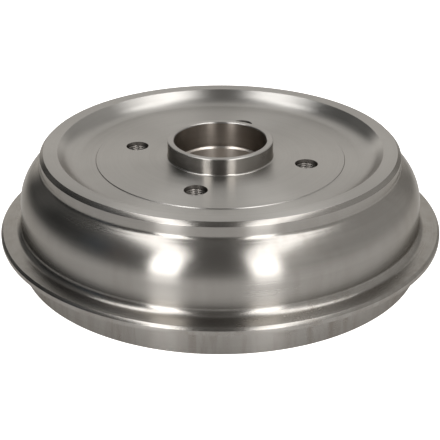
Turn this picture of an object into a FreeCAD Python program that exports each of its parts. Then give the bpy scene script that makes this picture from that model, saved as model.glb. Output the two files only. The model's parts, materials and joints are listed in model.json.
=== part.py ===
"""Brake drum with a bearing hub: one grey-iron casting, turned all over.

Millimetres, +Z up. The axis is Z and the open rim stands on z = 0, with the
wheel face and the hub nose on top.
"""
import FreeCAD
import Part
import math
import os

# Brake track and barrel
track_diameter = 228.6
barrel_wall = 9.3
skirt_wall = 11.0
rim_bevel = 0.6
track_mouth_bevel = 1.5

# Heights measured up from the open rim
face_height = 63.7
flange_underside = 19.7

# Flange that laps the backing plate
flange_reach = 11.6
flange_thickness = 4.0
flange_bevel = 1.4
barrel_foot_bevel = 2.4

# Shoulder between barrel and raised land
shoulder_round = 26.7
shoulder_drop = 24.5
waist_inset = 13.5
waist_bevel = 1.75

# Raised land round the wheel face and the dish inside it
land_rise = 7.7
land_bevel = 2.15
land_width = 9.2
land_edge_bevel = 1.85
dish_slope = 60.0
dish_round_share = 0.98
pad_radius = 76.2
pad_step = 0.4
web_thickness = 8.5
web_corner_bevel = 8.0

# Wheel spigot on the hub nose
wheel_bore_diameter = 65.1
spigot_clearance = 0.1
nose_height = 10.4
nose_bevel = 0.9
nose_root_bevel = 0.5

# Bearing housing: seat, retaining-ring groove, cap recess and inner lip
bearing_diameter = 56.0
bearing_width = 32.0
bearing_depth = 6.15
seat_bevel = 1.2
ring_groove_width = 2.15
ring_groove_depth = 1.5
cap_clearance = 0.53
cap_bevel = 0.8
lip_width = 3.5
lip_thickness = 4.0
lip_bevel = 0.8
boss_wall = 9.0
boss_draft = 3.0
boss_root_bevel = 3.5
boss_bevel = 1.5

# Threaded wheel-bolt holes
bolt_circle_diameter = 108.0
bolt_count = 4
bolt_thread_diameter = 12.0
bolt_thread_pitch = 1.25
bolt_hole_bevel = 1.0
bolt_hole_overrun = 1.0
first_bolt_angle = -105.1

# Radii and heights that follow from the sizes above
track_radius = track_diameter / 2
barrel_radius = track_radius + barrel_wall
skirt_radius = track_radius + skirt_wall
rim_middle_radius = track_radius + skirt_wall / 2
flange_radius = skirt_radius + flange_reach
flange_top = flange_underside + flange_thickness
waist_radius = barrel_radius - waist_inset
land_height = face_height + land_rise
dish_floor = face_height - pad_step
dish_rise = land_rise + pad_step
land_outer = waist_radius - land_bevel
land_inner = land_outer - land_width
slope_top_radius = land_inner - land_edge_bevel
slope_foot_radius = slope_top_radius - dish_rise / math.tan(math.radians(dish_slope))
nose_radius = wheel_bore_diameter / 2 - spigot_clearance
nose_top = face_height + nose_height
web_underside = face_height - web_thickness
seat_radius = bearing_diameter / 2
seat_top = face_height - bearing_depth
seat_bottom = seat_top - bearing_width
cap_radius = seat_radius + cap_clearance
groove_radius = seat_radius + ring_groove_depth
lip_radius = seat_radius - lip_width
boss_bottom = seat_bottom - lip_thickness
boss_radius = seat_radius + boss_wall
thread_core_radius = (bolt_thread_diameter - bolt_thread_pitch) / 2

# The dish's round takes up this much of the slope that the land's bevel leaves
slope_length = dish_rise / math.sin(math.radians(dish_slope))
dish_round_reach = dish_round_share * (slope_length - land_edge_bevel)
dish_round = dish_round_reach / math.tan(math.radians(dish_slope / 2))


def at(radius, height):
    """A point of the half section, in the XZ plane."""
    return FreeCAD.Vector(radius, 0, height)


def corner(radius, height, rounding=0.0, bevel=0.0):
    """One corner of the section, sharp, rounded or bevelled."""
    return {"point": at(radius, height), "rounding": rounding, "bevel": bevel}


def corner_edges(before, here, after):
    """Where the cut corner starts and ends, and its arc's middle point."""
    back = (before - here["point"]).normalize()
    ahead = (after - here["point"]).normalize()
    half = back.getAngle(ahead) / 2
    if here["bevel"]:
        reach = here["bevel"]
        middle = None
    else:
        reach = here["rounding"] / math.tan(half)
        inset = here["rounding"] / math.sin(half) - here["rounding"]
        middle = here["point"] + (back + ahead).normalize() * inset
    return here["point"] + back * reach, here["point"] + ahead * reach, middle


def section_edges(corners):
    """Lines and arcs along an open run of corners, first and last kept sharp."""
    edges = []
    last = corners[0]["point"]
    for index in range(1, len(corners)):
        here = corners[index]
        start = end = here["point"]
        middle = None
        inside = index < len(corners) - 1
        if inside and (here["bevel"] or here["rounding"]):
            before = corners[index - 1]["point"]
            after = corners[index + 1]["point"]
            start, end, middle = corner_edges(before, here, after)
        edges.append(Part.LineSegment(last, start).toShape())
        if middle:
            edges.append(Part.Arc(start, middle, end).toShape())
        elif start != end:
            edges.append(Part.LineSegment(start, end).toShape())
        last = end
    return edges


def on_circle(centre, radius, angle):
    """Point of the half section on a circle, by its angle above horizontal in degrees."""
    turn = math.radians(angle)
    return at(centre.x + radius * math.cos(turn), centre.z + radius * math.sin(turn))


def shoulder_edges():
    """Shoulder arc off the barrel, then the bevel that turns it up into the land's wall."""
    dome = at(barrel_radius - shoulder_round, face_height - shoulder_drop)
    wall_angle = math.degrees(math.acos((waist_radius - dome.x) / shoulder_round))
    arc_angle = wall_angle - math.degrees(waist_bevel / shoulder_round)
    barrel_top = on_circle(dome, shoulder_round, 0)
    arc_middle = on_circle(dome, shoulder_round, arc_angle / 2)
    arc_end = on_circle(dome, shoulder_round, arc_angle)
    waist_foot = at(waist_radius, on_circle(dome, shoulder_round, wall_angle).z + waist_bevel)
    edges = [
        Part.Arc(barrel_top, arc_middle, arc_end).toShape(),
        Part.LineSegment(arc_end, waist_foot).toShape(),
    ]
    return edges, waist_foot


def drum_section():
    """Closed half section, from the open rim up the outside and down the inside."""
    shoulder, waist_foot = shoulder_edges()
    boss_taper = (web_underside - boss_bottom) * math.tan(math.radians(boss_draft))
    outside = section_edges([
        corner(rim_middle_radius, 0),
        corner(skirt_radius, 0, bevel=rim_bevel),
        corner(skirt_radius, flange_underside),
        corner(flange_radius, flange_underside),
        corner(flange_radius, flange_top, bevel=flange_bevel),
        corner(barrel_radius, flange_top, bevel=barrel_foot_bevel),
        corner(barrel_radius, face_height - shoulder_drop),
    ])
    top = section_edges([
        corner(waist_foot.x, waist_foot.z),
        corner(waist_radius, land_height, bevel=land_bevel),
        corner(slope_top_radius, land_height, bevel=land_edge_bevel),
        corner(slope_foot_radius, dish_floor, rounding=dish_round),
        corner(pad_radius, dish_floor),
        corner(pad_radius, face_height),
        corner(nose_radius, face_height, bevel=nose_root_bevel),
        corner(nose_radius, nose_top, bevel=nose_bevel),
        corner(cap_radius, nose_top, bevel=cap_bevel),
        corner(cap_radius, seat_top + ring_groove_width),
        corner(groove_radius, seat_top + ring_groove_width),
        corner(groove_radius, seat_top),
        corner(seat_radius, seat_top, bevel=seat_bevel),
        corner(seat_radius, seat_bottom),
        corner(lip_radius, seat_bottom, bevel=lip_bevel),
        corner(lip_radius, boss_bottom),
        corner(boss_radius, boss_bottom, bevel=boss_bevel),
        corner(boss_radius + boss_taper, web_underside, bevel=boss_root_bevel),
        corner(track_radius, web_underside, bevel=web_corner_bevel),
        corner(track_radius, 0, bevel=track_mouth_bevel),
        corner(rim_middle_radius, 0),
    ])
    return Part.Face(Part.Wire(outside + shoulder + top))


def bolt_hole(angle):
    """Core of one threaded hole, bevelled at the wheel face."""
    core_length = web_thickness + 2 * bolt_hole_overrun
    core = Part.makeCylinder(thread_core_radius, core_length, at(0, web_underside - bolt_hole_overrun))
    mouth = bolt_thread_diameter / 2 + bolt_hole_bevel
    depth = mouth - thread_core_radius
    lead_in = Part.makeCone(thread_core_radius, mouth, depth, at(0, face_height - depth))
    cutter = core.fuse(lead_in)
    cutter.translate(FreeCAD.Vector(bolt_circle_diameter / 2, 0, 0))
    cutter.rotate(at(0, 0), FreeCAD.Vector(0, 0, 1), angle)
    return cutter


def brake_drum():
    """The turned casting with its four threaded holes."""
    turned = drum_section().revolve(at(0, 0), FreeCAD.Vector(0, 0, 1), 360)
    angles = [first_bolt_angle + 360 / bolt_count * index for index in range(bolt_count)]
    return turned.cut([bolt_hole(angle) for angle in angles])


os.makedirs("parts", exist_ok=True)
drum = brake_drum()
drum.exportStep("parts/brake_drum.step")
box = drum.optimalBoundingBox()
print("valid", drum.isValid(), "solids", len(drum.Solids))
print("size %.2f x %.2f x %.2f mm" % (box.XLength, box.YLength, box.ZLength))
print("volume %.1f cm3" % (drum.Volume / 1000))
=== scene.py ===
import json
import math
import bpy
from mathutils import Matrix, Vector


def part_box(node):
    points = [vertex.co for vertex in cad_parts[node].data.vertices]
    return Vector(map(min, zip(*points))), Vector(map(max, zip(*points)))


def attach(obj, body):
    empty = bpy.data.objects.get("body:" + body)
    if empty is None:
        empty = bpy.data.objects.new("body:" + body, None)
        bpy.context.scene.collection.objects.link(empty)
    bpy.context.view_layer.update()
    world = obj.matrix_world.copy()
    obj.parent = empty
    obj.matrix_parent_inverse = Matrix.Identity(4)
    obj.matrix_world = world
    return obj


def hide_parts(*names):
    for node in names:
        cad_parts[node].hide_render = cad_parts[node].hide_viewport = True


# A turned brake drum on a lit white sheet. The scene is in metres, the drum's own sizes in millimetres.

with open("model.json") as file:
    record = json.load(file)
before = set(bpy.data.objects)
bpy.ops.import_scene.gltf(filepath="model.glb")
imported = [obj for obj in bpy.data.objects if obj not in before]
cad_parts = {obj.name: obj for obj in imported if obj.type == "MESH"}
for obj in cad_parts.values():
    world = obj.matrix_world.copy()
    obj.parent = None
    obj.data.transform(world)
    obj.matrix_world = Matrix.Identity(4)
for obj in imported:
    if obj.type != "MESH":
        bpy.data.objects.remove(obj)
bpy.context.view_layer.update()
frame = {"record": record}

mm = 0.001
mounts = {mount["name"]: mount for mount in frame["record"]["mounts"]}

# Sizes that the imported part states, so the dressed casting keeps to them
openRimHeight = mounts["open_rim"]["pos_m"][2]
faceHeight = mounts["wheel_face"]["pos_m"][2]
spigotRadius = mounts["wheel_spigot"]["dims"]["r_mm"] * mm
seatRadius = mounts["bearing_seat"]["dims"]["r_mm"] * mm
capRadius = mounts["cap_recess"]["dims"]["r_mm"] * mm
trackRadius = mounts["shoe_track"]["dims"]["r_mm"] * mm
boltCircleRadius = mounts["wheel_bolts"]["dims"]["pcd_mm"] * mm / 2
boltCount = mounts["wheel_bolts"]["dims"]["count"]
threadCoreRadius = mounts["wheel_bolts"]["dims"]["hole_r_mm"] * mm
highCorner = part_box("brake_drum")[1]
noseTop = highCorner.z
flangeRadius = highCorner.x

# Finishes, in the order of the casting's material slots: the lathe's first, then the tap's
turnedFinishes = ["turnedOutside", "facedTop", "boredInside", "groundSeat", "frictionTrack"]
finishes = turnedFinishes + ["tappedThread", "shadedHoleMouth"]


# Node helpers

def addNode(tree, kind, **settings):
    node = tree.nodes.new(kind)
    for name, value in settings.items():
        setattr(node, name, value)
    return node


def mathNode(tree, operation, first, second=None, third=None, clamp=False):
    node = addNode(tree, "ShaderNodeMath", operation=operation, use_clamp=clamp)
    for index, value in enumerate((first, second, third)):
        if value is None:
            continue
        if isinstance(value, (int, float)):
            node.inputs[index].default_value = value
        else:
            tree.links.new(value, node.inputs[index])
    return node.outputs[0]


def joinVector(tree, x=None, y=None, z=None):
    node = addNode(tree, "ShaderNodeCombineXYZ")
    for axis, value in (("X", x), ("Y", y), ("Z", z)):
        if value is not None:
            tree.links.new(value, node.inputs[axis])
    return node.outputs[0]


def splitVector(tree, vector):
    node = addNode(tree, "ShaderNodeSeparateXYZ")
    tree.links.new(vector, node.inputs[0])
    return node.outputs


def mapRange(tree, value, fromLow, fromHigh, toLow, toHigh):
    node = addNode(tree, "ShaderNodeMapRange")
    tree.links.new(value, node.inputs["Value"])
    node.inputs["From Min"].default_value = fromLow
    node.inputs["From Max"].default_value = fromHigh
    node.inputs["To Min"].default_value = toLow
    node.inputs["To Max"].default_value = toHigh
    return node.outputs["Result"]


def noiseValue(tree, vector, scale, detail, roughness):
    node = addNode(tree, "ShaderNodeTexNoise")
    tree.links.new(vector, node.inputs["Vector"])
    node.inputs["Scale"].default_value = scale
    node.inputs["Detail"].default_value = detail
    node.inputs["Roughness"].default_value = roughness
    return node.outputs["Fac"]


def mixColour(tree, factor, first, second):
    node = addNode(tree, "ShaderNodeMix", data_type="RGBA")
    tree.links.new(factor, node.inputs["Factor"])
    for label, value in (("A", first), ("B", second)):
        if isinstance(value, tuple):
            node.inputs[label].default_value = (*value, 1.0)
        else:
            tree.links.new(value, node.inputs[label])
    return node.outputs["Result"]


def newGroup(name, inputs, outputs):
    group = bpy.data.node_groups.new(name, "ShaderNodeTree")
    for label, kind, value in inputs:
        socket = group.interface.new_socket(name=label, in_out="INPUT", socket_type=kind)
        if value is not None:
            socket.default_value = value
    for label, kind in outputs:
        group.interface.new_socket(name=label, in_out="OUTPUT", socket_type=kind)
    return group, group.nodes.new("NodeGroupInput"), group.nodes.new("NodeGroupOutput")


def placeGroup(tree, group, values):
    node = tree.nodes.new("ShaderNodeGroup")
    node.node_tree = group
    for label, value in values.items():
        if isinstance(value, (int, float)):
            node.inputs[label].default_value = value
        else:
            tree.links.new(value, node.inputs[label])
    return node.outputs


# Tool marks left by the lathe: fine rings at one feed, broken by slow chatter

toolMarks = {
    "wallShare": 1.37,           # rings on a wall, for each one on a face
    "roundTurn": 0.8,            # how much the rings change on the way round
    "bandShare": 0.13,           # broad bands, for each ring
    "grooveLow": 0.3,            # marks at or below this are full dark
    "grooveHigh": 0.9,           # and above this they aren't dark at all
}


def buildTurningGroup():
    group, entry, leave = newGroup(
        "turningMarks",
        [("Position", "NodeSocketVector", None),
         ("Rings per mm", "NodeSocketFloat", 4.0), ("Chatter", "NodeSocketFloat", 0.3)],
        [("Height", "NodeSocketFloat"), ("Streak", "NodeSocketFloat")])
    place = splitVector(group, entry.outputs["Position"])
    angle = mathNode(group, "ARCTAN2", place["Y"], place["X"])
    # the tool moves outward on a face and downward on a wall, so radius less height keeps growing
    radius = addNode(group, "ShaderNodeVectorMath", operation="LENGTH")
    group.links.new(joinVector(group, place["X"], place["Y"]), radius.inputs[0])
    travel = mathNode(group, "MULTIPLY_ADD", place["Z"], -toolMarks["wallShare"], radius.outputs["Value"])
    travelMm = mathNode(group, "MULTIPLY", travel, 1 / mm)
    rings = mathNode(group, "MULTIPLY", travelMm, entry.outputs["Rings per mm"])
    bands = mathNode(group, "MULTIPLY", rings, toolMarks["bandShare"])
    # noise that varies quickly across the section and slowly round it
    roundX = mathNode(group, "MULTIPLY", mathNode(group, "COSINE", angle), toolMarks["roundTurn"])
    roundY = mathNode(group, "MULTIPLY", mathNode(group, "SINE", angle), toolMarks["roundTurn"])
    fine = noiseValue(group, joinVector(group, rings, roundX, roundY), scale=1.0, detail=3.0, roughness=0.6)
    broad = noiseValue(group, joinVector(group, bands, roundX, roundY), scale=1.0, detail=2.0, roughness=0.5)
    chatter = mathNode(group, "MULTIPLY", broad, entry.outputs["Chatter"])
    group.links.new(mathNode(group, "ADD", fine, chatter), leave.inputs["Height"])
    group.links.new(mathNode(group, "MULTIPLY", fine, broad), leave.inputs["Streak"])
    return group


# Handling: faint oil smudges and finger marks that change the gloss

smudging = {
    "cloudScale": 22.0,
    "cloudLow": 0.42,
    "cloudHigh": 0.72,
    "fleckScale": 260.0,
    "fleckLow": 0.62,
    "fleckHigh": 0.78,
    "fleckShare": 0.6,           # how strong a fleck is beside a full smudge
}


def buildSmudgeGroup():
    group, entry, leave = newGroup(
        "oilSmudges",
        [("Position", "NodeSocketVector", None), ("Amount", "NodeSocketFloat", 0.5)],
        [("Mask", "NodeSocketFloat")])
    position = entry.outputs["Position"]
    cloud = noiseValue(group, position, smudging["cloudScale"], detail=4.0, roughness=0.55)
    fleck = noiseValue(group, position, smudging["fleckScale"], detail=2.0, roughness=0.5)
    smudge = mapRange(group, cloud, smudging["cloudLow"], smudging["cloudHigh"], 0.0, 1.0)
    spots = mapRange(group, fleck, smudging["fleckLow"], smudging["fleckHigh"], 0.0, smudging["fleckShare"])
    both = mathNode(group, "MAXIMUM", smudge, spots)
    group.links.new(mathNode(group, "MULTIPLY", both, entry.outputs["Amount"]), leave.inputs["Mask"])
    return group


# Wiped-off oil that dried in runs: streaks along the axis, strongest on the skirt, where the same mask is
# also painted shade

runsAndFootShade = {
    "footHeight": 0.022,         # metres up the skirt, below which the runs and the painted shade are strong
    "fullBelow": 0.8,            # as shares of the foot height
    "faintAbove": 1.3,
    "faintShare": 0.28,
    "stretch": 0.12,             # heights count for this much, which draws the pattern out
    "streakScale": 190.0,
    "streakLow": 0.42,
    "streakHigh": 0.68,
    "patchScale": 24.0,
    "patchLow": 0.35,
    "patchHigh": 0.65,
    "patchFloor": 0.25,          # what is left of the streaks between patches
}


def buildRunAndShadeGroup():
    group, entry, leave = newGroup(
        "runsAndFootShade",
        [("Position", "NodeSocketVector", None), ("Amount", "NodeSocketFloat", 0.5),
         ("Foot", "NodeSocketFloat", 0.02)],
        [("Mask", "NodeSocketFloat")])
    drawnOut = addNode(group, "ShaderNodeVectorMath", operation="MULTIPLY")
    group.links.new(entry.outputs["Position"], drawnOut.inputs[0])
    drawnOut.inputs[1].default_value = (1.0, 1.0, runsAndFootShade["stretch"])
    runsAndShade = noiseValue(group, drawnOut.outputs[0], runsAndFootShade["streakScale"], detail=4.0, roughness=0.6)
    broad = noiseValue(group, drawnOut.outputs[0], runsAndFootShade["patchScale"], detail=2.0, roughness=0.5)
    streak = mapRange(group, runsAndShade, runsAndFootShade["streakLow"], runsAndFootShade["streakHigh"], 0.0, 1.0)
    patch = mapRange(group, broad, runsAndFootShade["patchLow"], runsAndFootShade["patchHigh"], runsAndFootShade["patchFloor"], 1.0)
    # the weight by height is painted shade: darker low on the skirt, for the drum's own shadow on the floor
    # that the skirt reflects
    height = splitVector(group, entry.outputs["Position"])["Z"]
    footShare = mathNode(group, "DIVIDE", height, entry.outputs["Foot"])
    weight = mapRange(
        group, footShare, runsAndFootShade["fullBelow"], runsAndFootShade["faintAbove"], 1.0, runsAndFootShade["faintShare"])
    mask = mathNode(group, "MULTIPLY", mathNode(group, "MULTIPLY", streak, patch), weight)
    group.links.new(mathNode(group, "MULTIPLY", mask, entry.outputs["Amount"]), leave.inputs["Mask"])
    return group


# One material for each finish. Grooves and smudges darken it, dried oil stains it and all three dull it. Low
# on the skirt the dried-oil stain is painted shade as well.
# A groove's depth is in millimetres.

quarterTurn = 0.25               # turns the highlight's long side across the rings

# the stain colour is dried oil and, low on the skirt, painted shade as well
looks = {
    "turnedOutside": {
        "colour": (0.333, 0.318, 0.297), "edgeTint": (0.72, 0.7, 0.67), "stainAndShade": (0.19, 0.16, 0.135),
        "roughness": 0.22, "ringRough": 0.08, "smudgeRough": 0.05, "runRough": 0.06, "anisotropy": 0.9,
        "smudges": 0.5, "runsAndShade": 0.6, "oilDark": 0.06, "grooveDark": 0.86,
        "ringsPerMm": 1.5, "chatter": 0.5, "bump": 0.1, "grooveDepth": 0.01},
    "facedTop": {
        "colour": (0.401, 0.389, 0.37), "edgeTint": (0.72, 0.7, 0.68), "stainAndShade": (0.34, 0.32, 0.3),
        "roughness": 0.27, "ringRough": 0.06, "smudgeRough": 0.05, "runRough": 0.03, "anisotropy": 0.9,
        "smudges": 0.6, "runsAndShade": 0.3, "oilDark": 0.08, "grooveDark": 0.88,
        "ringsPerMm": 1.3, "chatter": 0.6, "bump": 0.1, "grooveDepth": 0.01},
    "boredInside": {
        "colour": (0.29, 0.255, 0.222), "edgeTint": (0.7, 0.67, 0.63), "stainAndShade": (0.22, 0.18, 0.15),
        "roughness": 0.34, "ringRough": 0.1, "smudgeRough": 0.06, "runRough": 0.03, "anisotropy": 0.9,
        "smudges": 0.5, "runsAndShade": 0.3, "oilDark": 0.1, "grooveDark": 0.85,
        "ringsPerMm": 1.6, "chatter": 0.4, "bump": 0.1, "grooveDepth": 0.01},
    "groundSeat": {
        "colour": (0.58, 0.53, 0.48), "edgeTint": (0.8, 0.77, 0.73), "stainAndShade": (0.3, 0.26, 0.22),
        "roughness": 0.3, "ringRough": 0.06, "smudgeRough": 0.05, "runRough": 0.03, "anisotropy": 0.85,
        "smudges": 0.4, "runsAndShade": 0.3, "oilDark": 0.08, "grooveDark": 0.92,
        "ringsPerMm": 2.4, "chatter": 0.3, "bump": 0.05, "grooveDepth": 0.01},
    "frictionTrack": {
        "colour": (0.3, 0.292, 0.28), "edgeTint": (0.7, 0.69, 0.67), "stainAndShade": (0.2, 0.18, 0.16),
        "roughness": 0.29, "ringRough": 0.12, "smudgeRough": 0.06, "runRough": 0.03, "anisotropy": 0.75,
        "smudges": 0.5, "runsAndShade": 0.3, "oilDark": 0.1, "grooveDark": 0.8,
        "ringsPerMm": 1.2, "chatter": 0.5, "bump": 0.25, "grooveDepth": 0.02},
    "tappedThread": {
        "colour": (0.22, 0.205, 0.19), "edgeTint": (0.6, 0.58, 0.55), "stainAndShade": (0.12, 0.11, 0.1),
        "roughness": 0.36, "ringRough": 0.05, "smudgeRough": 0.08, "runRough": 0.0, "anisotropy": 0.3,
        "smudges": 0.6, "runsAndShade": 0.2, "oilDark": 0.2, "grooveDark": 0.9,
        "ringsPerMm": 2.0, "chatter": 0.2, "bump": 0.1, "grooveDepth": 0.01},
    # painted shade: a near-black lead-in at each hole's mouth
    "shadedHoleMouth": {
        "colour": (0.055, 0.05, 0.045), "edgeTint": (0.3, 0.28, 0.26), "stainAndShade": (0.04, 0.035, 0.03),
        "roughness": 0.45, "ringRough": 0.05, "smudgeRough": 0.08, "runRough": 0.0, "anisotropy": 0.3,
        "smudges": 0.6, "runsAndShade": 0.2, "oilDark": 0.2, "grooveDark": 0.9,
        "ringsPerMm": 2.0, "chatter": 0.2, "bump": 0.1, "grooveDepth": 0.01},
}

turningGroup = buildTurningGroup()
smudgeGroup = buildSmudgeGroup()
runAndShadeGroup = buildRunAndShadeGroup()


def makeTurnedMetal(name, look):
    material = bpy.data.materials.new(name)
    material.use_nodes = True
    tree = material.node_tree
    tree.nodes.clear()
    output = addNode(tree, "ShaderNodeOutputMaterial")
    surface = addNode(tree, "ShaderNodeBsdfPrincipled")
    tree.links.new(surface.outputs[0], output.inputs["Surface"])
    position = addNode(tree, "ShaderNodeTexCoord").outputs["Object"]
    marks = placeGroup(tree, turningGroup, {
        "Position": position, "Rings per mm": look["ringsPerMm"], "Chatter": look["chatter"]})
    smudge = placeGroup(tree, smudgeGroup, {"Position": position, "Amount": look["smudges"]})["Mask"]
    # oil runs, and painted shade low on the skirt
    run = placeGroup(tree, runAndShadeGroup, {
        "Position": position, "Amount": look["runsAndShade"], "Foot": runsAndFootShade["footHeight"]})["Mask"]

    # base metal, a touch darker in the grooves and where oil lies, and brown where it has dried, which low
    # on the skirt is painted shade
    grooves = mapRange(
        tree, marks["Height"], toolMarks["grooveLow"], toolMarks["grooveHigh"], look["grooveDark"], 1.0)
    oiled = mathNode(tree, "MULTIPLY_ADD", smudge, -look["oilDark"], 1.0)
    shaded = mixColour(tree, mathNode(tree, "MULTIPLY", grooves, oiled), (0.0, 0.0, 0.0), look["colour"])
    tree.links.new(mixColour(tree, run, shaded, look["stainAndShade"]), surface.inputs["Base Color"])

    rough = mathNode(tree, "MULTIPLY_ADD", smudge, look["smudgeRough"], look["roughness"])
    rough = mathNode(tree, "MULTIPLY_ADD", marks["Streak"], look["ringRough"], rough)
    rough = mathNode(tree, "MULTIPLY_ADD", run, look["runRough"], rough)
    tree.links.new(rough, surface.inputs["Roughness"])

    surface.inputs["Metallic"].default_value = 1.0
    surface.inputs["Specular Tint"].default_value = (*look["edgeTint"], 1.0)
    surface.inputs["Anisotropic"].default_value = look["anisotropy"]
    surface.inputs["Anisotropic Rotation"].default_value = quarterTurn
    tangent = addNode(tree, "ShaderNodeTangent", direction_type="RADIAL", axis="Z")
    tree.links.new(tangent.outputs[0], surface.inputs["Tangent"])

    bump = addNode(tree, "ShaderNodeBump")
    bump.inputs["Strength"].default_value = look["bump"]
    bump.inputs["Distance"].default_value = look["grooveDepth"] * mm
    tree.links.new(marks["Height"], bump.inputs["Height"])
    tree.links.new(bump.outputs[0], surface.inputs["Normal"])
    return material


materials = {name: makeTurnedMetal(name, looks[name]) for name in finishes}
print("materials made:", ", ".join(materials))


# The casting's half section, in millimetres from the axis and from the wheel face, and in degrees

drum = {
    "segments": 320,
    "sharpAngle": 28.0,          # degrees, past which an edge shows as an edge
    "arcStep": 7.0,              # degrees between points on a round
    "breakStep": 45.0,           # and on a broken edge
    "edgeBreak": 0.22,           # round on an edge that the tool only broke
    "barrelRadius": 123.6,
    "skirtRadius": 125.3,
    "rimBevel": 0.6,
    "flangeUnderside": -44.0,
    "flangeTop": -40.0,
    "flangeBevel": 1.4,
    "flangeUnderRound": 1.2,
    "barrelFootRound": 4.4,
    "shoulderRound": 26.7,
    "shoulderDrop": 24.5,
    "lineAngle": 53.0,           # where a fine line lies on the shoulder's round, in degrees
    "lineWidth": 0.9,
    "lineDepth": 0.04,
    "waistRadius": 110.1,
    "waistRound": 3.0,
    "landRise": 7.7,
    "landWidth": 8.05,
    "landBevelIn": 2.25,
    "landBevelDrop": 2.2,
    "landRound": 1.0,
    "dishSlope": 46.0,
    "dishRound": 14.5,
    "padRadius": 76.2,
    "padStep": 0.4,
    "noseRootRound": 1.1,
    "noseBevel": 0.4,
    "capBevel": 0.45,
    "ringGrooveTop": -4.0,
    "ringGrooveWidth": 2.15,
    "ringGrooveDepth": 1.5,
    "seatBevel": 1.2,
    "seatBottom": -38.15,
    "lipWidth": 3.5,
    "lipThickness": 4.0,
    "lipBevel": 0.8,
    "bossWall": 9.0,
    "bossBevel": 1.5,
    "bossDraft": 3.0,
    "bossRoot": 3.5,
    "webThickness": 8.5,
    "webCorner": 11.0,
    "trackBevel": 1.5,
}

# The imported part's sizes, in the section's own measure
rimLevel = (openRimHeight - faceHeight) / mm
noseLevel = (noseTop - faceHeight) / mm
nose, cap, seat, shoe, flange = (
    radius / mm for radius in (spigotRadius, capRadius, seatRadius, trackRadius, flangeRadius))
rimMiddle = (shoe + drum["skirtRadius"]) / 2
outside, top, bored, ground, track = range(len(turnedFinishes))


def arcPoints(centre, radius, startAngle, endAngle, step):
    count = max(2, math.ceil(abs(endAngle - startAngle) / step))
    angles = [startAngle + (endAngle - startAngle) * index / count for index in range(count + 1)]
    return [(centre[0] + radius * math.cos(math.radians(a)), centre[1] + radius * math.sin(math.radians(a)))
            for a in angles]


def cornerSides(before, here, after):
    back = Vector((before[0] - here[0], before[1] - here[1])).normalized()
    ahead = Vector((after[0] - here[0], after[1] - here[1])).normalized()
    return back, ahead


def roundCorner(before, here, after, radius, step):
    back, ahead = cornerSides(before, here, after)
    half = back.angle(ahead) / 2
    reach = radius / math.tan(half)
    start = Vector(here) + back * reach
    centre = Vector(here) + (back + ahead).normalized() * (radius / math.sin(half))
    end = Vector(here) + ahead * reach
    first = math.degrees(math.atan2(start.y - centre.y, start.x - centre.x))
    turn = math.degrees((start - centre).angle_signed(end - centre))
    return arcPoints(centre, radius, first, first - turn, step)


def bevelCorner(before, here, after, size):
    # both edges of the bevel are broken in their turn
    back, ahead = cornerSides(before, here, after)
    low = tuple(Vector(here) + back * size)
    high = tuple(Vector(here) + ahead * size)
    edgeRound = drum["edgeBreak"] / 2
    return (roundCorner(before, low, high, edgeRound, drum["breakStep"])
            + roundCorner(low, high, after, edgeRound, drum["breakStep"]))


# A corner is (radius, height, kind, size, finish after it): "sharp", "round", "bevel" or "break"

def sectionRun(corners):
    points = [(*corners[0][:2], corners[0][4])]
    for index in range(1, len(corners) - 1):
        before, here, after = (corner[:2] for corner in corners[index - 1:index + 2])
        kind, size, finish = corners[index][2:]
        previous = corners[index - 1][4]
        if kind == "round":
            made = roundCorner(before, here, after, size, drum["arcStep"])
        elif kind == "break":
            made = roundCorner(before, here, after, drum["edgeBreak"], drum["breakStep"])
        elif kind == "bevel":
            made = bevelCorner(before, here, after, size)
        else:
            made = [here]
        half = len(made) / 2
        points += [(*point, previous if place < half else finish) for place, point in enumerate(made)]
    points.append((*corners[-1][:2], corners[-1][4]))
    return points


def skirtCorners():
    barrel = drum["barrelRadius"]
    return [
        (rimMiddle, rimLevel, "sharp", 0, outside),
        (drum["skirtRadius"], rimLevel, "bevel", drum["rimBevel"], outside),
        (drum["skirtRadius"], drum["flangeUnderside"], "round", drum["flangeUnderRound"], outside),
        (flange, drum["flangeUnderside"], "break", 0, outside),
        (flange, drum["flangeTop"], "bevel", drum["flangeBevel"], outside),
        (barrel, drum["flangeTop"], "round", drum["barrelFootRound"], outside),
        (barrel, -drum["shoulderDrop"], "sharp", 0, outside),
    ]


def shoulderPoints():
    # up the shoulder's round, over the fine line, then the hollow that turns into the land's wall
    shoulder = drum["shoulderRound"]
    dome = (drum["barrelRadius"] - shoulder, -drum["shoulderDrop"])
    hollowRadius = drum["waistRadius"] + drum["waistRound"]
    apart = shoulder + drum["waistRound"]
    hollow = (hollowRadius, dome[1] + math.sqrt(apart ** 2 - (hollowRadius - dome[0]) ** 2))
    meet = math.degrees(math.atan2(hollow[1] - dome[1], hollow[0] - dome[0]))
    halfLine = math.degrees(drum["lineWidth"] / 2 / shoulder)
    lineTurn = math.radians(drum["lineAngle"])
    lineFloor = shoulder - drum["lineDepth"]
    step = drum["arcStep"]

    points = arcPoints(dome, shoulder, 0, drum["lineAngle"] - halfLine, step / 2)
    points.append((dome[0] + lineFloor * math.cos(lineTurn), dome[1] + lineFloor * math.sin(lineTurn)))
    points += arcPoints(dome, shoulder, drum["lineAngle"] + halfLine, meet, step / 2)
    points += arcPoints(hollow, drum["waistRound"], 180 + meet, 180, step)[1:]
    return [(*point, outside) for point in points]


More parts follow.
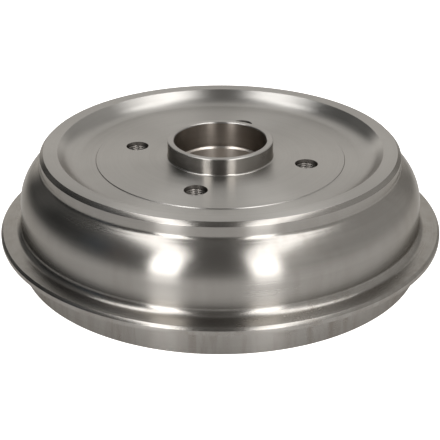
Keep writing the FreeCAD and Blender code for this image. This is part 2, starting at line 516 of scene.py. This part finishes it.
def faceCorners(waistTop):
    # raised land, dish, pad and hub nose
    waist = drum["waistRadius"]
    rise = drum["landRise"]
    landInner = waist - drum["landBevelIn"] - drum["landWidth"]
    slope = math.radians(drum["dishSlope"])
    slopeTop = landInner - drum["landRound"] * math.tan(slope / 2)
    dishFoot = slopeTop - (rise + drum["padStep"]) / math.tan(slope)
    return [
        (waist, waistTop, "sharp", 0, outside),
        (waist, rise - drum["landBevelDrop"], "break", 0, outside),
        (waist - drum["landBevelIn"], rise, "break", 0, top),
        (slopeTop, rise, "round", drum["landRound"], top),
        (dishFoot, -drum["padStep"], "round", drum["dishRound"], top),
        (drum["padRadius"] + drum["padStep"], -drum["padStep"], "sharp", 0, top),
        (drum["padRadius"], 0.0, "sharp", 0, top),
        (nose, 0.0, "round", drum["noseRootRound"], outside),
        (nose, noseLevel, "bevel", drum["noseBevel"], top),
    ]


def boreCorners():
    # cap recess, ring groove, bearing seat and inner lip
    seatTop = drum["ringGrooveTop"] - drum["ringGrooveWidth"]
    groove = seat + drum["ringGrooveDepth"]
    lip = seat - drum["lipWidth"]
    boreStart = noseLevel - 2 * drum["capBevel"]     # a bevel's height clear of the bevel
    return [
        (cap, noseLevel, "bevel", drum["capBevel"], top),
        (cap, boreStart, "sharp", 0, bored),
        (cap, drum["ringGrooveTop"], "break", 0, bored),
        (groove, drum["ringGrooveTop"], "sharp", 0, bored),
        (groove, seatTop, "sharp", 0, bored),
        (seat, seatTop, "bevel", drum["seatBevel"], ground),
        (seat, drum["seatBottom"], "sharp", 0, bored),
        (lip, drum["seatBottom"], "bevel", drum["lipBevel"], bored),
        (lip, drum["seatBottom"] - drum["lipThickness"], "break", 0, track),
    ]


def insideCorners():
    # hub boss, underside of the web and friction track
    bossBottom = drum["seatBottom"] - drum["lipThickness"]
    boss = seat + drum["bossWall"]
    webUnder = -drum["webThickness"]
    bossFoot = boss + (webUnder - bossBottom) * math.tan(math.radians(drum["bossDraft"]))
    return [
        (boss, bossBottom, "bevel", drum["bossBevel"], track),
        (bossFoot, webUnder, "round", drum["bossRoot"], track),
        (shoe, webUnder, "round", drum["webCorner"], track),
        (shoe, rimLevel, "bevel", drum["trackBevel"], outside),
        (rimMiddle, rimLevel, "sharp", 0, outside),
    ]


def castingSection():
    # the runs share their end points, and the last one ends where the first starts
    skirt = sectionRun(skirtCorners())
    shoulder = shoulderPoints()
    inward = sectionRun(faceCorners(shoulder[-1][1]) + boreCorners() + insideCorners())
    run = skirt[:-1] + shoulder + inward[1:-1]
    return [(radius * mm, height * mm + faceHeight, finish) for radius, height, finish in run]


# Geometry Nodes helpers

def geometryTree(name, inputs):
    tree = bpy.data.node_groups.new(name, "GeometryNodeTree")
    tree.interface.new_socket(name="Geometry", in_out="INPUT", socket_type="NodeSocketGeometry")
    for label, kind, value in inputs:
        socket = tree.interface.new_socket(name=label, in_out="INPUT", socket_type=kind)
        socket.default_value = value
    tree.interface.new_socket(name="Geometry", in_out="OUTPUT", socket_type="NodeSocketGeometry")
    return tree, tree.nodes.new("NodeGroupInput"), tree.nodes.new("NodeGroupOutput")


def storeAttribute(tree, geometry, name, kind, domain):
    node = addNode(tree, "GeometryNodeStoreNamedAttribute", data_type=kind, domain=domain)
    node.inputs["Name"].default_value = name
    tree.links.new(geometry, node.inputs["Geometry"])
    return node


def readAttribute(tree, name):
    node = addNode(tree, "GeometryNodeInputNamedAttribute", data_type="FLOAT")
    node.inputs["Name"].default_value = name
    return node.outputs[0]


def markSharpEdges(tree, geometry, limit):
    edgeAngle = addNode(tree, "GeometryNodeInputMeshEdgeAngle")
    steep = addNode(tree, "FunctionNodeCompare", data_type="FLOAT", operation="GREATER_THAN")
    tree.links.new(edgeAngle.outputs["Unsigned Angle"], steep.inputs[0])
    tree.links.new(limit, steep.inputs[1])
    marked = storeAttribute(tree, geometry, "sharp_edge", "BOOLEAN", "EDGE")
    tree.links.new(steep.outputs[0], marked.inputs["Value"])
    return marked.outputs[0]


def realize(tree, geometry):
    node = addNode(tree, "GeometryNodeRealizeInstances")
    tree.links.new(geometry, node.inputs[0])
    return node.outputs[0]


def shadeSmooth(tree, geometry):
    node = addNode(tree, "GeometryNodeSetShadeSmooth")
    tree.links.new(geometry, node.inputs["Geometry"])
    return node.outputs[0]


def paintFaces(tree, geometry, finish, chosen):
    node = addNode(tree, "GeometryNodeSetMaterial")
    node.inputs["Material"].default_value = materials[finish]
    tree.links.new(geometry, node.inputs["Geometry"])
    tree.links.new(chosen, node.inputs["Selection"])
    return node.outputs[0]


def applyTree(piece, tree, values):
    modifier = piece.modifiers.new(tree.name, "NODES")
    modifier.node_group = tree
    for item in tree.interface.items_tree:
        if item.in_out == "INPUT" and item.name in values:
            modifier[item.identifier] = values[item.name]
    bpy.context.view_layer.update()
    made = bpy.data.meshes.new_from_object(piece.evaluated_get(bpy.context.evaluated_depsgraph_get()))
    piece.modifiers.remove(modifier)
    piece.data = made


# Geometry Nodes: turn a section round Z, as a lathe does

lathe = {
    "pathRadius": 0.01,          # metres; any small circle, and the section moves in by as much
    "finishShare": 0.6,          # a face takes the later finish from this far below its number
}


def buildLatheTree():
    tree, entry, leave = geometryTree("turnSection", [
        ("Segments", "NodeSocketInt", 64), ("Sharp angle", "NodeSocketFloat", 0.5)])
    toCurve = addNode(tree, "GeometryNodeMeshToCurve")
    tree.links.new(entry.outputs["Geometry"], toCurve.inputs["Mesh"])
    path = addNode(tree, "GeometryNodeCurvePrimitiveCircle")
    path.inputs["Radius"].default_value = lathe["pathRadius"]
    tree.links.new(entry.outputs["Segments"], path.inputs["Resolution"])
    upright = addNode(tree, "GeometryNodeSetCurveNormal", mode="Z_UP")
    tree.links.new(path.outputs[0], upright.inputs["Curve"])
    inward = addNode(tree, "GeometryNodeTransform")
    tree.links.new(toCurve.outputs[0], inward.inputs["Geometry"])
    inward.inputs["Translation"].default_value = (-lathe["pathRadius"], 0.0, 0.0)
    # the sweep wants its profile lying in XY
    lay = addNode(tree, "GeometryNodeTransform")
    tree.links.new(inward.outputs[0], lay.inputs["Geometry"])
    lay.inputs["Rotation"].default_value = (math.radians(90), 0.0, 0.0)
    sweep = addNode(tree, "GeometryNodeCurveToMesh")
    tree.links.new(upright.outputs[0], sweep.inputs["Curve"])
    tree.links.new(lay.outputs[0], sweep.inputs["Profile Curve"])
    smooth = shadeSmooth(tree, sweep.outputs[0])
    geometry = realize(tree, markSharpEdges(tree, smooth, entry.outputs["Sharp angle"]))
    finish = readAttribute(tree, "finish")
    for place, name in enumerate(turnedFinishes):
        chosen = mathNode(tree, "GREATER_THAN", finish, place - lathe["finishShare"])
        geometry = paintFaces(tree, geometry, name, chosen)
    tree.links.new(geometry, leave.inputs[0])
    return tree


def sectionObject(name, points):
    mesh = bpy.data.meshes.new(name)
    edges = [(index, (index + 1) % len(points)) for index in range(len(points))]
    mesh.from_pydata([(point[0], 0.0, point[1]) for point in points], edges, [])
    finish = mesh.attributes.new("finish", "FLOAT", "POINT")
    finish.data.foreach_set("value", [float(point[2]) for point in points])
    piece = bpy.data.objects.new(name, mesh)
    bpy.context.scene.collection.objects.link(piece)
    return piece


# Geometry Nodes: threaded holes, one tap with a helical thread repeated round the bolt circle,
# in millimetres and degrees

boltHoles = {
    "firstAngle": -105.1,
    "threadDiameter": 12.0,
    "pitch": 1.25,
    "mouthBevel": 1.0,
    "mouthShadeDepth": 1.5,           # how far down the lead-in is painted near-black as shade
    "overrun": 1.0,              # how far the tap runs past both faces of the web
    "roundSteps": 40,
    "rowsPerPitch": 8,
}


def buildTap(tree, given, overFace):
    # a cylinder about its own middle, pushed out to the thread and, near the face, to the lead-in
    cylinder = addNode(tree, "GeometryNodeMeshCylinder")
    tree.links.new(given["Round steps"], cylinder.inputs["Vertices"])
    tree.links.new(given["Rows"], cylinder.inputs["Side Segments"])
    tree.links.new(given["Core radius"], cylinder.inputs["Radius"])
    tree.links.new(given["Length"], cylinder.inputs["Depth"])
    place = splitVector(tree, addNode(tree, "GeometryNodeInputPosition").outputs[0])
    depth = mathNode(tree, "SUBTRACT", overFace, place["Z"])     # below the wheel face
    turn = mathNode(tree, "DIVIDE", mathNode(tree, "ARCTAN2", place["Y"], place["X"]), math.tau)
    lead = mathNode(tree, "SUBTRACT", mathNode(tree, "DIVIDE", place["Z"], given["Pitch"]), turn)
    # up and down once for each pitch, from 0 at the core to 1 at the thread's full depth
    ridge = mathNode(tree, "PINGPONG", mathNode(tree, "MULTIPLY", lead, 2.0), 1.0)
    thread = mathNode(tree, "MULTIPLY_ADD", ridge, given["Thread depth"], given["Core radius"])
    mouth = mathNode(tree, "SUBTRACT", given["Mouth radius"], depth)
    widest = mathNode(tree, "MAXIMUM", thread, mathNode(tree, "MINIMUM", mouth, given["Mouth radius"]))
    ratio = mathNode(tree, "DIVIDE", widest, given["Core radius"])
    pushed = joinVector(tree, mathNode(tree, "MULTIPLY", place["X"], ratio),
                        mathNode(tree, "MULTIPLY", place["Y"], ratio), place["Z"])
    shape = addNode(tree, "GeometryNodeSetPosition")
    tree.links.new(cylinder.outputs["Mesh"], shape.inputs["Geometry"])
    tree.links.new(pushed, shape.inputs["Position"])
    # the tap's faces are marked, so what they leave in the web can be found again
    mark = storeAttribute(tree, shadeSmooth(tree, shape.outputs[0]), "tapped", "FLOAT", "FACE")
    mark.inputs["Value"].default_value = 1.0
    return mark.outputs[0]


def placeTaps(tree, given, overFace, tap):
    ring = addNode(tree, "GeometryNodeMeshCircle")
    tree.links.new(given["Count"], ring.inputs["Vertices"])
    tree.links.new(given["Circle radius"], ring.inputs["Radius"])
    lift = mathNode(tree, "SUBTRACT", given["Face height"], overFace)
    circle = addNode(tree, "GeometryNodeTransform")
    tree.links.new(ring.outputs[0], circle.inputs["Geometry"])
    tree.links.new(joinVector(tree, z=given["First angle"]), circle.inputs["Rotation"])
    tree.links.new(joinVector(tree, z=lift), circle.inputs["Translation"])
    copies = addNode(tree, "GeometryNodeInstanceOnPoints")
    tree.links.new(circle.outputs[0], copies.inputs["Points"])
    tree.links.new(tap, copies.inputs["Instance"])
    return realize(tree, copies.outputs[0])


def buildTapTree():
    tree, entry, leave = geometryTree("tapHoles", [
        ("Count", "NodeSocketInt", 4), ("Circle radius", "NodeSocketFloat", 0.05),
        ("First angle", "NodeSocketFloat", 0.0), ("Core radius", "NodeSocketFloat", 0.005),
        ("Thread depth", "NodeSocketFloat", 0.0006), ("Pitch", "NodeSocketFloat", 0.00125),
        ("Mouth radius", "NodeSocketFloat", 0.007), ("Mouth depth", "NodeSocketFloat", 0.001),
        ("Face height", "NodeSocketFloat", 0.06), ("Length", "NodeSocketFloat", 0.01),
        ("Overrun", "NodeSocketFloat", 0.001), ("Sharp angle", "NodeSocketFloat", 0.5),
        ("Round steps", "NodeSocketInt", 40), ("Rows", "NodeSocketInt", 60)])
    given = entry.outputs
    # from the tap's middle up to the wheel face
    overFace = mathNode(tree, "SUBTRACT", mathNode(tree, "MULTIPLY", given["Length"], 0.5), given["Overrun"])
    taps = placeTaps(tree, given, overFace, buildTap(tree, given, overFace))
    cut = addNode(tree, "GeometryNodeMeshBoolean", operation="DIFFERENCE", solver="EXACT")
    tree.links.new(given["Geometry"], cut.inputs["Mesh 1"])
    tree.links.new(taps, cut.inputs["Mesh 2"])
    geometry = realize(tree, markSharpEdges(tree, cut.outputs[0], given["Sharp angle"]))
    inHole = mathNode(tree, "GREATER_THAN", readAttribute(tree, "tapped"), 0.5)
    # painted shade: the lead-in at each mouth is made near-black
    height = splitVector(tree, addNode(tree, "GeometryNodeInputPosition").outputs[0])["Z"]
    mouthFoot = mathNode(tree, "SUBTRACT", given["Face height"], given["Mouth depth"])
    inShadedMouth = mathNode(tree, "MULTIPLY", inHole, mathNode(tree, "GREATER_THAN", height, mouthFoot))
    geometry = paintFaces(tree, geometry, "tappedThread", inHole)
    geometry = paintFaces(tree, geometry, "shadedHoleMouth", inShadedMouth)
    tree.links.new(geometry, leave.inputs[0])
    return tree


casting = sectionObject("turnedCasting", castingSection())
applyTree(casting, buildLatheTree(), {
    "Segments": drum["segments"],
    "Sharp angle": math.radians(drum["sharpAngle"]),
})
print("casting turned:", len(casting.data.polygons), "faces")

tapLength = (drum["webThickness"] + 2 * boltHoles["overrun"]) * mm
applyTree(casting, buildTapTree(), {
    "Count": boltCount,
    "Circle radius": boltCircleRadius,
    "First angle": math.radians(boltHoles["firstAngle"]),
    "Core radius": threadCoreRadius,
    "Thread depth": boltHoles["threadDiameter"] * mm / 2 - threadCoreRadius,
    "Pitch": boltHoles["pitch"] * mm,
    "Mouth radius": (boltHoles["threadDiameter"] / 2 + boltHoles["mouthBevel"]) * mm,
    "Mouth depth": boltHoles["mouthShadeDepth"] * mm,
    "Face height": faceHeight,
    "Length": tapLength,
    "Overrun": boltHoles["overrun"] * mm,
    "Sharp angle": math.radians(drum["sharpAngle"]),
    "Round steps": boltHoles["roundSteps"],
    "Rows": round(tapLength / (boltHoles["pitch"] * mm) * boltHoles["rowsPerPitch"]),
})
print("bolt holes tapped:", len(casting.data.polygons), "faces", [m.name for m in casting.data.materials])

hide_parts("brake_drum")
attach(casting, "root")


# Floor, camera and studio light, in metres

studio = {
    "floorSize": 20.0,
    "tableColour": (0.42, 0.42, 0.42),
    "tableGloss": 0.28,
    "tableTint": (1.0, 0.985, 0.965, 1.0),
    "tableGlow": 0.4,            # light that the sheet sends to everything
    "whiteout": 1.0,             # light that only the camera sees, on top
    "sheetFades": 0.25,          # the sheet starts to fade this far behind the drum's axis
    "sheetEnds": 0.45,
    "beyondSheet": 0.3,          # share of colour and light past its end
    "cameraPlace": (0.0, -0.5918, 0.3135),
    "cameraTarget": (0.0, 0.0, 0.0186),
    "focalLength": 84.92,
    "sensor": 36.0,
    "shift": -0.0007,
}


def makeFloor():
    half = studio["floorSize"] / 2
    mesh = bpy.data.meshes.new("floor")
    corners = [(-half, -half, 0), (half, -half, 0), (half, half, 0), (-half, half, 0)]
    mesh.from_pydata(corners, [], [(0, 1, 2, 3)])
    floor = bpy.data.objects.new("floor", mesh)
    bpy.context.scene.collection.objects.link(floor)
    material = bpy.data.materials.new("floorPaper")
    material.use_nodes = True
    tree = material.node_tree
    surface = tree.nodes["Principled BSDF"]
    back = splitVector(tree, addNode(tree, "ShaderNodeTexCoord").outputs["Object"])["Y"]
    lit = mapRange(tree, back, studio["sheetFades"], studio["sheetEnds"], 1.0, studio["beyondSheet"])
    colour = mixColour(tree, lit, (0.0, 0.0, 0.0), studio["tableColour"])
    tree.links.new(colour, surface.inputs["Base Color"])
    surface.inputs["Roughness"].default_value = studio["tableGloss"]
    # white acrylic lit from below: its own light, and more of it where only the camera looks
    surface.inputs["Emission Color"].default_value = studio["tableTint"]
    seen = addNode(tree, "ShaderNodeLightPath").outputs["Is Camera Ray"]
    sheet = mathNode(tree, "MULTIPLY", lit, studio["tableGlow"])
    glow = mathNode(tree, "MULTIPLY_ADD", seen, studio["whiteout"], sheet)
    tree.links.new(glow, surface.inputs["Emission Strength"])
    mesh.materials.append(material)


def makeCamera():
    data = bpy.data.cameras.new("camera")
    data.lens = studio["focalLength"]
    data.sensor_width = studio["sensor"]
    data.shift_x = studio["shift"]
    camera = bpy.data.objects.new("camera", data)
    place = Vector(studio["cameraPlace"])
    camera.location = place
    camera.rotation_euler = (Vector(studio["cameraTarget"]) - place).to_track_quat("-Z", "Y").to_euler()
    bpy.context.scene.collection.objects.link(camera)
    bpy.context.scene.camera = camera


# Softboxes: the overhead pair runs front to back and looks straight down,
# the standing pair faces the drum from both sides of the camera
softboxes = {
    "overheadLeft": {
        "middle": (-0.54, -0.39, 1.2), "size": (0.4, 1.62), "watts": 7.4, "facesDrum": False},
    "overheadRight": {
        "middle": (0.53, -0.35, 1.2), "size": (0.48, 1.7), "watts": 8.2, "facesDrum": False},
    "standingLeft": {
        "middle": (-0.665, -1.23, 0.56), "size": (0.39, 1.0), "watts": 7.2, "facesDrum": True},
    "standingRight": {
        "middle": (0.56, -1.29, 0.54), "size": (0.37, 1.0), "watts": 6.2, "facesDrum": True},
}


def makeLights():
    for name, box in softboxes.items():
        data = bpy.data.lights.new(name, "AREA")
        data.shape = "RECTANGLE"
        data.size, data.size_y = box["size"]
        data.energy = box["watts"]
        lamp = bpy.data.objects.new(name, data)
        lamp.location = box["middle"]
        lamp.visible_camera = False
        if box["facesDrum"]:
            lamp.rotation_euler = (-Vector(box["middle"])).to_track_quat("-Z", "Y").to_euler()
        bpy.context.scene.collection.objects.link(lamp)


# The room round the table, as soft-edged panels seen from the drum, in degrees. Azimuth is 0 toward
# the camera and grows to the right, elevation grows upward, and a panel fades out over its soft edge.
warmWhite = (1.0, 0.985, 0.96)
room = {
    "wallBehind": {
        "azimuth": 180, "halfWidth": 28, "elevation": 20, "halfHeight": 48, "soft": 10,
        "glow": 0.92, "tint": warmWhite},
    "lowLeftBehind": {
        "azimuth": 209, "halfWidth": 7, "elevation": 3, "halfHeight": 13, "soft": 9,
        "glow": 0.6, "tint": warmWhite},
    "leftBehind": {
        "azimuth": -129, "halfWidth": 9, "elevation": 22, "halfHeight": 14, "soft": 12,
        "glow": 0.12, "tint": warmWhite},
    "rightBehind": {
        "azimuth": 149, "halfWidth": 7, "elevation": 18, "halfHeight": 22, "soft": 10,
        "glow": 0.25, "tint": warmWhite},
    "wallRight": {
        "azimuth": 82, "halfWidth": 60, "elevation": 20, "halfHeight": 50, "soft": 22,
        "glow": 0.57, "tint": warmWhite},
    "besideRight": {
        "azimuth": 46, "halfWidth": 12, "elevation": 34, "halfHeight": 14, "soft": 14,
        "glow": 0.28, "tint": warmWhite},
    "cornerLeft": {
        "azimuth": -95, "halfWidth": 55, "elevation": 30, "halfHeight": 60, "soft": 20,
        "glow": 0.035, "tint": (0.9, 0.97, 1.0)},
    "wallLeft": {
        "azimuth": -92, "halfWidth": 62, "elevation": 56, "halfHeight": 20, "soft": 18,
        "glow": 0.15, "tint": warmWhite},
    "blueCloth": {
        "azimuth": -74, "halfWidth": 9, "elevation": 25, "halfHeight": 10, "soft": 12,
        "glow": 0.065, "tint": (0.3, 0.6, 1.0)},
    "brownCloth": {
        "azimuth": -58, "halfWidth": 6, "elevation": 22, "halfHeight": 10, "soft": 8,
        "glow": 0.07, "tint": (1.0, 0.66, 0.55)},
    "behindCamera": {
        "azimuth": -3, "halfWidth": 38, "elevation": 20, "halfHeight": 50, "soft": 24,
        "glow": 0.15, "tint": (1.0, 0.97, 0.93)},
    "ceiling": {
        "azimuth": 0, "halfWidth": 200, "elevation": 90, "halfHeight": 20, "soft": 10,
        "glow": 0.19, "tint": warmWhite},
}


def panelMask(tree, azimuth, elevation, panel):
    aside = mathNode(tree, "WRAP", mathNode(tree, "SUBTRACT", azimuth, panel["azimuth"]), 180.0, -180.0)
    above = mathNode(tree, "SUBTRACT", elevation, panel["elevation"])
    masks = []
    for away, half in ((aside, panel["halfWidth"]), (above, panel["halfHeight"])):
        inside = mathNode(tree, "SUBTRACT", half, mathNode(tree, "ABSOLUTE", away))
        # half way down the fade at the panel's edge
        masks.append(mathNode(tree, "MULTIPLY_ADD", inside, 1 / panel["soft"], 0.5, clamp=True))
    return mathNode(tree, "MULTIPLY", *masks)


def panelLight(tree, azimuth, elevation, panel):
    light = addNode(tree, "ShaderNodeVectorMath", operation="SCALE")
    light.inputs[0].default_value = [channel * panel["glow"] for channel in panel["tint"]]
    tree.links.new(panelMask(tree, azimuth, elevation, panel), light.inputs["Scale"])
    return light.outputs[0]


def makeWorld():
    world = bpy.data.worlds.new("studioRoom")
    bpy.context.scene.world = world
    world.use_nodes = True
    tree = world.node_tree
    toward = splitVector(tree, addNode(tree, "ShaderNodeTexCoord").outputs["Generated"])
    towardCamera = mathNode(tree, "MULTIPLY", toward["Y"], -1.0)
    azimuth = mathNode(tree, "DEGREES", mathNode(tree, "ARCTAN2", toward["X"], towardCamera))
    elevation = mathNode(tree, "DEGREES", mathNode(tree, "ARCSINE", toward["Z"]))
    first, *others = room.values()
    light = panelLight(tree, azimuth, elevation, first)
    for panel in others:
        total = addNode(tree, "ShaderNodeVectorMath", operation="ADD")
        tree.links.new(light, total.inputs[0])
        tree.links.new(panelLight(tree, azimuth, elevation, panel), total.inputs[1])
        light = total.outputs[0]
    tree.links.new(light, tree.nodes["Background"].inputs["Color"])


makeFloor()
makeCamera()
makeLights()
makeWorld()
bpy.context.scene.view_settings.view_transform = "Standard"
print("studio set")
